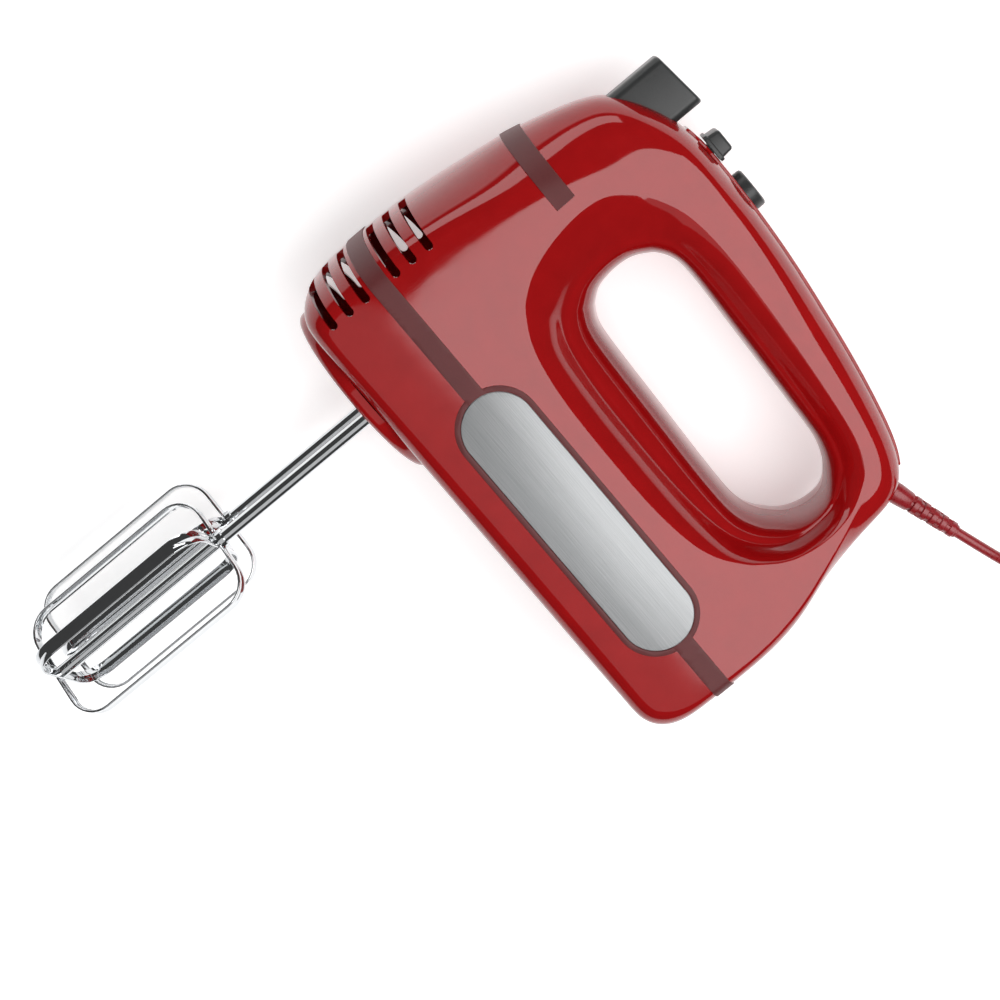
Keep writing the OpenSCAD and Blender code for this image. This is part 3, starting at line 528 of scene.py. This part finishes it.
# Black phenolic: dull and dense, as moulded switches and carbon blocks are
black = material("black_phenolic", "#262626", "#1A1A1A", 0.5, 0.6, 0.02, spread=0.05)
# Solder resist on a circuit board: smooth green lacquer
board = material("green_solder_resist", "#2C6B3B", "#205530", 0.3, 1.2, 0.01, spread=0.05)
# Turned steel: grey and smooth, with fine lines along the part
steel = material("turned_steel", "#B5B7BA", "#9A9C9F", 0.28, 0.4, 0.008,
                 stretch=(0.1, 1, 1), spread=0.06, Metallic=1.0)
SLOTS = {
    "red_abs": red_abs, "burgundy_abs": burgundy_abs, "grey_abs": grey_abs,
    "brushed_plate": brushed, "chromed_steel": chrome, "red_pvc": pvc,
    "nickel_brass": nickel, "natural_nylon": nylon, "copper_wire": copper,
    "brass": brass, "black_part": black, "circuit_board": board, "bright_steel": steel,
}
for part in frame["record"]["subparts"]:
    mesh = frame["nodes"][part["node"]].data
    mesh.materials.clear()
    mesh.materials.append(SLOTS[part["material_slot"]])


def finish_piece(obj, name, slot, body, node, angle=35):
    """Settles a piece, gives it its material, hides the part it stands for and ties it to its
    body.
    """
    settle(obj, name, angle)
    obj.data.materials.clear()
    obj.data.materials.append(SLOTS[slot])
    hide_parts(node)
    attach(obj, body)


# ---- Shells ----
WAIST_BAND_H = 7.5
SLOT_W, SLOT_PITCH, SLOT_LAND = 3.2, 7.4, 1.6
SLOT_YS = [BAND_Y + s * (WAIST_BAND_H / 2 + SLOT_W / 2 + SLOT_LAND + k * SLOT_PITCH)
           for s in (-1, 1) for k in (0, 1, 2)]
EJECT_X, EJECT_LEN, EJECT_W = 19.5, 23.0, 17.0
TURBO_X, TURBO_R = 70.5, 7.75
SLIDER_X, SLIDER_LEN = 52.5, 11.0
KEY_GAP = 0.4
KEY_CORNER = 3.4
SOCKET_R = 6.5
# Each screw's place, and how deep its head's top lies below the seam
SCREWS = [(14, 66, 31.5), (34, 97, 29.4), (192, 96, 24.5), (196, 20, 39.0), (128, 68, 21.5),
          (144, 6.6, 39.0), (200, 62, 37.7)]


def key_holes():
    """Cutters for the slider's slot and the round key's hole in the handle's top."""
    round_hole = cylinder(TURBO_R + KEY_GAP, 40, place(TURBO_X + TURBO_R, 152), 64)
    slot = block(SLIDER_X - 5, SLIDER_X + SLIDER_LEN - 1, 132, 172, -3.5, 3.5)
    return [round_hole, slot]


def make_shell(side, word):
    shell = side_surface("shell", side)
    apply_modifier(shell, "SOLIDIFY", thickness=WALL * MM, offset=-1)
    cutters = [stadium(-4 - SLOT_W / 2, 16.8 + SLOT_W / 2, y - SLOT_W / 2, y + SLOT_W / 2,
                       side * 7, side * 60) for y in SLOT_YS]
    eject_hole = block(EJECT_X - KEY_GAP, EJECT_X + EJECT_LEN + KEY_GAP, 112, 170,
                       *sorted((-side, side * (EJECT_W / 2 + KEY_GAP))))
    bevel_where(eject_hole, lambda m, d: abs(d.y) > 0.9 and abs(m.z) > 3,
                KEY_CORNER + KEY_GAP, 7)
    cutters += [eject_hole] + key_holes()
    cutters.append(cylinder(SOCKET_R, 30, place(BEATER_X, 0, side * BEATER_Z)))
    cutters.append(cylinder(4.3, 20, place(*(RELIEF_BASE + RELIEF_AXIS * 2)), 32,
                            (0, math.pi / 2, RELIEF_TURN)))
    cut(shell, join(cutters))
    finish_piece(shell, word + "_moulded_shell", "red_abs", "housing", word + "_shell", 32)


for side, word in SIDES:
    make_shell(side, word)


def make_screws():
    """Pan-head screws that hold the two shells, kept just inside the right one's skin."""
    screws = []
    for x, y, depth in SCREWS:
        end = depth + 10
        screws.append(lathe("screw", [(0, 0), (2.3, 0), (2.75, 0.25), (2.9, 0.7), (2.9, 2),
                                      (1.5, 2.1), (1.5, end - 1), (0.8, end), (0, end)],
                            place(x, y, -depth), (0, 0, 1), 32))
    finish_piece(join(screws), "housing_screws_turned", "bright_steel", "housing",
                 "housing_screws")


make_screws()


# ---- Trim ----
def make_band(side, name, node, y, high, end):
    """A band let into the side, which stops at end where there is one."""
    band = side_surface(name, side, 0.35, 3)
    bisect(band, place(0, y + high / 2), (0, 1, 0))
    bisect(band, place(0, y - high / 2), (0, -1, 0))
    if end:
        bisect(band, place(end, 0), (1, 0, 0))
    apply_modifier(band, "SOLIDIFY", thickness=1.0 * MM, offset=-1)
    soften(band, 0.18, 2)
    finish_piece(band, name, "burgundy_abs", "housing", node)


PLATE_X, PLATE_LEN, PLATE_H, BORDER = 68.5, 115.0, 27.5, 2.0
PLATE_Y = BAND_Y - 0.8
PLATE_GAP = 0.1


def plate_outline(grow, z0, z1):
    return stadium(PLATE_X - grow, PLATE_X + PLATE_LEN + grow, PLATE_Y - PLATE_H / 2 - grow,
                   PLATE_Y + PLATE_H / 2 + grow, z0, z1)


def make_plate(side, word):
    face = side * (HALF_W + 0.6)
    rim = side * (HALF_W + 0.3)
    back = side * (HALF_W - 0.9)
    plate = plate_outline(-PLATE_GAP, back, face)
    bevel_where(plate, lambda m, d: abs(m.z - face) < 0.01 and abs(d.z) < 0.1, 0.35, 3)
    finish_piece(plate, word + "_side_plate", "brushed_plate", "housing",
                 word + "_trim_plate")
    border = plate_outline(BORDER, back, rim)
    cut(border, plate_outline(0, side * (HALF_W - 3), side * (HALF_W + 3)))
    soften(border, 0.15, 2)
    finish_piece(border, word + "_plate_border", "burgundy_abs", "housing",
                 word + "_trim_border")


for side, word in SIDES:
    make_plate(side, word)
    make_band(side, word + "_waist_band", word + "_lower_band", BAND_Y, WAIST_BAND_H, None)
    make_band(side, word + "_nose_band", word + "_upper_band", 98.5, 8.0, 37.0)


COVER_START, COVER_END, COVER_LOW, COVER_HALF = 46.2, 191.8, 125, 8.8


def make_handle_cover():
    halves = []
    for side, _ in SIDES:
        half = side_surface("cover", side, 0.7)
        bisect(half, place(COVER_START, 0), (-1, 0, 0))
        bisect(half, place(COVER_END, 0), (1, 0, 0))
        bisect(half, place(0, COVER_LOW), (0, -1, 0))
        bisect(half, place(0, 0, side * COVER_HALF), (0, 0, side))
        halves.append(half)
    cover = join(halves)
    edit_all(cover, bpy.ops.mesh.remove_doubles, threshold=0.5 * MM)
    apply_modifier(cover, "SOLIDIFY", thickness=2.2 * MM, offset=-1)
    soften(cover, 0.5, 3)
    cut(cover, join(key_holes()))
    finish_piece(cover, "handle_top_cover", "red_abs", "housing", "handle_cover")


def make_nose():
    nose = lathe("nose", [(0, 0), (35.9, 0), (35.9, 2.2), (35.6, 3.4), (34.7, 4.4),
                          (33.2, 5.0), (31.2, 5.28), (30.6, 5.2), (30.2, 4.7), (0, 4.6)],
                 place(NOSE_PLATE_X, 0), (0, -1, 0), 128)
    cut(nose, join([cylinder(SOCKET_R, 20, place(BEATER_X, -2, side * BEATER_Z))
                    for side, _ in SIDES]))
    finish_piece(nose, "nose_collar", "red_abs", "housing", "nose_plate")


make_handle_cover()
make_nose()


# ---- Controls ----
def make_eject_button():
    x0, x1, low, top = EJECT_X, EJECT_X + EJECT_LEN, 124.2, 158.0
    button = block(x0, x1, low, top, -EJECT_W / 2, EJECT_W / 2)
    for v in button.data.vertices:
        if v.co.x < place(x0 + 1, 0).x and v.co.y > place(0, top - 1).y:
            v.co.y -= 2.5 * MM
    bevel_where(button, lambda m, d: abs(d.y) > 0.9, KEY_CORNER, 7)
    bevel_where(button, lambda m, d: m.y > top - 4 and abs(d.y) < 0.5, 1.2, 5)
    finish_piece(button, "eject_key", "grey_abs", "ejector", "eject_button")


def make_slider():
    x0, x1, low, top = SLIDER_X, SLIDER_X + SLIDER_LEN, 149.9, 156.0
    skirt = block(x0, x1, low, low + 1.5, -9, 9)
    bevel_where(skirt, lambda m, d: abs(d.y) > 0.9, 1.5, 4)
    bevel_where(skirt, lambda m, d: m.y > low + 1.4, 0.5, 3)
    knob = block(x0 + 0.7, x1 - 0.7, low + 1.0, top, -8, 8)
    for v in knob.data.vertices:
        if v.co.y > place(0, top - 1).y:
            v.co.x += 0.5 * MM * (1 if v.co.x < place((x0 + x1) / 2, 0).x else -1)
    bevel_where(knob, lambda m, d: abs(d.y) > 0.9, 1.2, 4)
    bevel_where(knob, lambda m, d: m.y > top - 0.3, 1.7, 5)
    stem = block(x0 + 3.5, x1 - 3.5, 132.2, low + 0.5, -2.5, 2.5)
    finish_piece(join([skirt, knob, stem]), "speed_knob", "grey_abs", "slider",
                 "speed_slider")


def make_turbo():
    r, foot = TURBO_R, 140.4
    top = 153.2 - foot
    profile = [(0, 0), (r - 1.4, 0), (r, 2), (r, top - 1.2), (r - 0.25, top - 0.5),
               (r - 0.9, top - 0.05), (r - 1.8, top - 0.15), (r - 4, top - 0.7),
               (0, top - 0.9)]
    turbo = lathe("turbo", profile, place(TURBO_X + r, foot), (0, 1, 0), 64)
    finish_piece(turbo, "turbo_key", "grey_abs", "turbo", "turbo_button")


make_eject_button()
make_slider()
make_turbo()

# The springs under the keys each get a mesh of their own
for name, joint, travel in (("eject_spring", "eject_press", 8.0),
                            ("turbo_spring", "turbo_press", 3.0)):
    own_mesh(bpy.data.objects[name])


# ---- Beaters ----
BLADE_W, BLADE_T, BEATER_R, BEND_R = 5.5, 1.0, 23.5, 11.0


def arc(cx, cy, r, start, end, n):
    return [(cx + r * math.cos(math.radians(start + (end - start) * k / n)),
             cy + r * math.sin(math.radians(start + (end - start) * k / n)))
            for k in range(n + 1)]


def make_blade(side, name, body, node, turn, top, low):
    """A strip bent round the shaft's head and tip, seen as two blades."""
    r = BEATER_R - 0.02
    out = r - BEND_R
    half = [(2.5, top)] + arc(out, top - BEND_R, BEND_R, 90, 0, 8)
    half += arc(out, low + BEND_R, BEND_R, 0, -90, 8) + [(0.0, low)]
    mirrored = [(-x, y) for x, y in reversed(half[:-1])]
    path = half + mirrored
    phase = math.radians((30 if side > 0 else 15) + turn)
    out_dir = Vector((math.cos(phase), 0, math.sin(phase)))
    across = Vector((-math.sin(phase), 0, math.cos(phase)))
    axis = place(BEATER_X, 0, side * BEATER_Z)
    # A shallow groove runs along the middle of the strip, pressed in from outside
    centre = Vector((0, (top + low) / 2))
    rings = []
    for w, sink in ((-1, 0), (-0.36, 0.04), (0, 0.45), (0.36, 0.04), (1, 0)):
        ring = []
        for x, y in path:
            spot = Vector((x, y))
            spot += (centre - spot).normalized() * sink
            ring.append(axis + (out_dir * spot.x + Vector((0, 1, 0)) * spot.y
                                + across * w * BLADE_W / 2) * MM)
        rings.append(ring)
    strip = loft(name, rings, ring_closed=False)
    recalculate(strip)
    # The strip is open, so its normals are turned to face away from the shaft.
    middle = place(BEATER_X, centre.y, side * BEATER_Z)
    face = strip.data.polygons[0]
    if face.normal.dot(face.center - middle) < 0:
        edit_all(strip, bpy.ops.mesh.flip_normals)
    apply_modifier(strip, "SOLIDIFY", thickness=BLADE_T * MM, offset=-1)
    soften(strip, 0.42, 3, 50)
    finish_piece(strip, name, "chromed_steel", body, node)


for side, word in SIDES:
    make_blade(side, word + "_outer_loop", word + "_beater", word + "_wide_blade", 0,
               HEAD_TOP, TIP_Y)
    make_blade(side, word + "_inner_loop", word + "_beater", word + "_cross_blade", 90,
               HEAD_TOP - BLADE_T, TIP_Y + BLADE_T)


# ---- Strain relief, cord and plug ----
RIBS, RIB_FROM, RIB_PITCH, RIB_H, RIB_R, RIB_TAPER = 5, 8.6, 4.1, 2.4, 3.55, 0.12
WEB_SIZE = (1.8 * MM, 2.6 * MM, 1.5 * MM)


def make_web(at, up):
    """A short bridge between two ribs, standing out along up."""
    clear()
    bpy.ops.mesh.primitive_cube_add(size=1)
    web = bpy.context.object
    web.dimensions = WEB_SIZE
    bpy.ops.object.transform_apply(location=False, rotation=False, scale=True)
    turn = Matrix((RELIEF_AXIS, up.cross(RELIEF_AXIS), up)).transposed()
    web.matrix_world = Matrix.Translation(at) @ turn.to_4x4()
    bpy.ops.object.transform_apply(location=True, rotation=True, scale=True)
    return web


def make_relief():
    """A sleeve with ribs that get smaller, each joined to the last by two webs."""
    base = place(*RELIEF_BASE)
    upwards = Vector((0, 0, 1))
    sideways = upwards.cross(RELIEF_AXIS)
    core = lathe("relief", [(2.05, -8), (4.1, -8), (4.1, 1.6), (3.7, 7.0), (3.5, 7.5),
                            (2.7, 7.6), (2.55, RELIEF_LEN - 0.3), (2.3, RELIEF_LEN),
                            (2.05, RELIEF_LEN)], base, RELIEF_AXIS, 40)
    parts = [core]
    for k in range(RIBS):
        start, r = RIB_FROM + RIB_PITCH * k, RIB_R - RIB_TAPER * k
        end = start + RIB_H
        parts.append(lathe("rib", [(2.3, start), (r - 0.25, start), (r, start + 0.25),
                                   (r, end - 0.25), (r - 0.25, end), (2.3, end)],
                           base, RELIEF_AXIS, 40))
        for turn in (45, 225):
            angle = math.radians(turn + (90 if k % 2 else 0))
            up = sideways * math.sin(angle) + upwards * math.cos(angle)
            at = base + (RELIEF_AXIS * (start - 0.85) + up * (r - 0.85)) * MM
            parts.append(make_web(at, up))
    finish_piece(join(parts), "cord_strain_relief", "red_pvc", "housing", "strain_relief")


make_relief()


def coil_points():
    """Turns wound in and out, layer on layer, from the first point to the last."""
    rise = 0.25
    spiral = (COIL_TURNS - rise * (COIL_LAYERS - 1)) / COIL_LAYERS
    steps = 20
    out, turned = [], 0.0
    for layer in range(COIL_LAYERS):
        r0, r1 = (COIL_R + CORD_D, COIL_R - CORD_D)[::1 if layer % 2 == 0 else -1]
        z = FLOOR_Z + CORD_D * layer
        n = round(spiral * steps)
        for k in range(n + (layer == COIL_LAYERS - 1)):
            out.append((turned + spiral * k / n, r0 + (r1 - r0) * k / n, z))
        turned += spiral
        if layer < COIL_LAYERS - 1:
            m = round(rise * steps)
            for k in range(m):
                out.append((turned + rise * k / m, r1, z + CORD_D * smooth(k / m)))
            turned += rise
    return [(COIL_AT[0] + r * math.cos(COIL_START + 2 * math.pi * t),
             COIL_AT[1] + r * math.sin(COIL_START + 2 * math.pi * t), z)
            for t, r, z in out]


def make_cord():
    """The cord from inside the strain relief, through the coil, to the plug."""
    route = [-RELIEF_AXIS * 12] + spline(CORD_POINTS, 2)[:-1]
    route += [Vector(p) for p in coil_points()][:-1]
    route += spline(TAIL_POINTS, 3)
    curve = bpy.data.curves.new("supply_cord", "CURVE")
    curve.dimensions = "3D"
    line = curve.splines.new("BEZIER")
    line.bezier_points.add(len(route) - 1)
    line.resolution_u = 4
    points = [cord_place(p) for p in route]
    for point, at in zip(line.bezier_points, points):
        point.co = at
        point.handle_left_type = point.handle_right_type = "AUTO"
    curve.bevel_depth = CORD_D / 2 * MM
    curve.bevel_resolution = 5
    curve.use_fill_caps = True
    cord = bpy.data.objects.new("supply_cord", curve)
    bpy.context.scene.collection.objects.link(cord)
    curve.materials.append(pvc)
    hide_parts("power_cord", "cord_coil")
    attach(cord, "housing")
    length = sum((b - a).length for a, b in zip(points, points[1:]))
    return cord, length


def make_plug():
    """A block that narrows towards the cord, with rounded edges."""
    low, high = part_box("plug_body")
    middle = [(a + b) / 2 for a, b in zip(low, high)]
    clear()
    bpy.ops.mesh.primitive_cube_add(size=1, location=middle)
    plug = bpy.context.object
    plug.dimensions = [(b - a) - 0.2 * MM for a, b in zip(low, high)]
    bpy.ops.object.transform_apply(location=True, rotation=True, scale=True)
    edit_all(plug, bpy.ops.mesh.bisect, plane_co=(0, low[1] + 13 * MM, 0), plane_no=(0, 1, 0))
    for v in plug.data.vertices:
        if v.co.y < low[1] + 1 * MM:
            v.co.x = middle[0] + (v.co.x - middle[0]) * 0.34
            v.co.z = middle[2] + (v.co.z - middle[2]) * 0.62
    soften(plug, 2.6, 5, 20)
    finish_piece(plug, "moulded_plug", "red_pvc", "housing", "plug_body")
    return plug


cord, cord_length = make_cord()
moulded_plug = make_plug()


# ---- Floor and light ----
def make_stage():
    """A plain pale floor that glows a little, as lit studio paper does."""
    clear()
    bpy.ops.mesh.primitive_plane_add(size=6, location=(0, 0, 0))
    floor = bpy.context.object
    floor.name = "studio_floor"
    paper = bpy.data.materials.new("studio_paper")
    paper.use_nodes = True
    for key, value in (("Base Color", srgb("#F4F4F4")), ("Roughness", 0.9),
                       ("Emission Color", srgb("#FFFFFF")), ("Emission Strength", 0.4)):
        paper.node_tree.nodes["Principled BSDF"].inputs[key].default_value = value
    floor.data.materials.append(paper)


def softbox(name, at, aim, size, watts, glossy):
    light = bpy.data.lights.new(name, "AREA")
    light.shape = "RECTANGLE"
    light.size, light.size_y = size
    light.energy = watts
    obj = bpy.data.objects.new(name, light)
    bpy.context.scene.collection.objects.link(obj)
    obj.location = at
    obj.rotation_mode = "QUATERNION"
    obj.rotation_quaternion = (Vector(aim) - Vector(at)).to_track_quat("-Z", "Y")
    obj.visible_glossy = glossy


make_stage()
# The main panel ends where the side's reflection ends: at the nose and under the plate
softbox("main_panel", (0.375, 0.53, 1.08), (0.375, 0.53, 0), (0.77, 1.24), 10.2, True)
softbox("dim_panel", (0.23, -0.42, 1.08), (0.23, -0.42, 0), (1.06, 0.66), 1.3, True)
softbox("nose_panel", (-1.1, 0.45, 0.35), (0, 0.05, 0.04), (0.9, 0.35), 2.5, True)
softbox("fill_light", (0.0, 0.1, 2.4), (0, 0, 0), (2.6, 2.6), 38, False)
world = bpy.data.worlds.new("studio")
bpy.context.scene.world = world
world.use_nodes = True
world.node_tree.nodes["Background"].inputs["Color"].default_value = (1, 1, 1, 1)
world.node_tree.nodes["Background"].inputs["Strength"].default_value = 0.06
bpy.context.scene.view_settings.view_transform = "Standard"
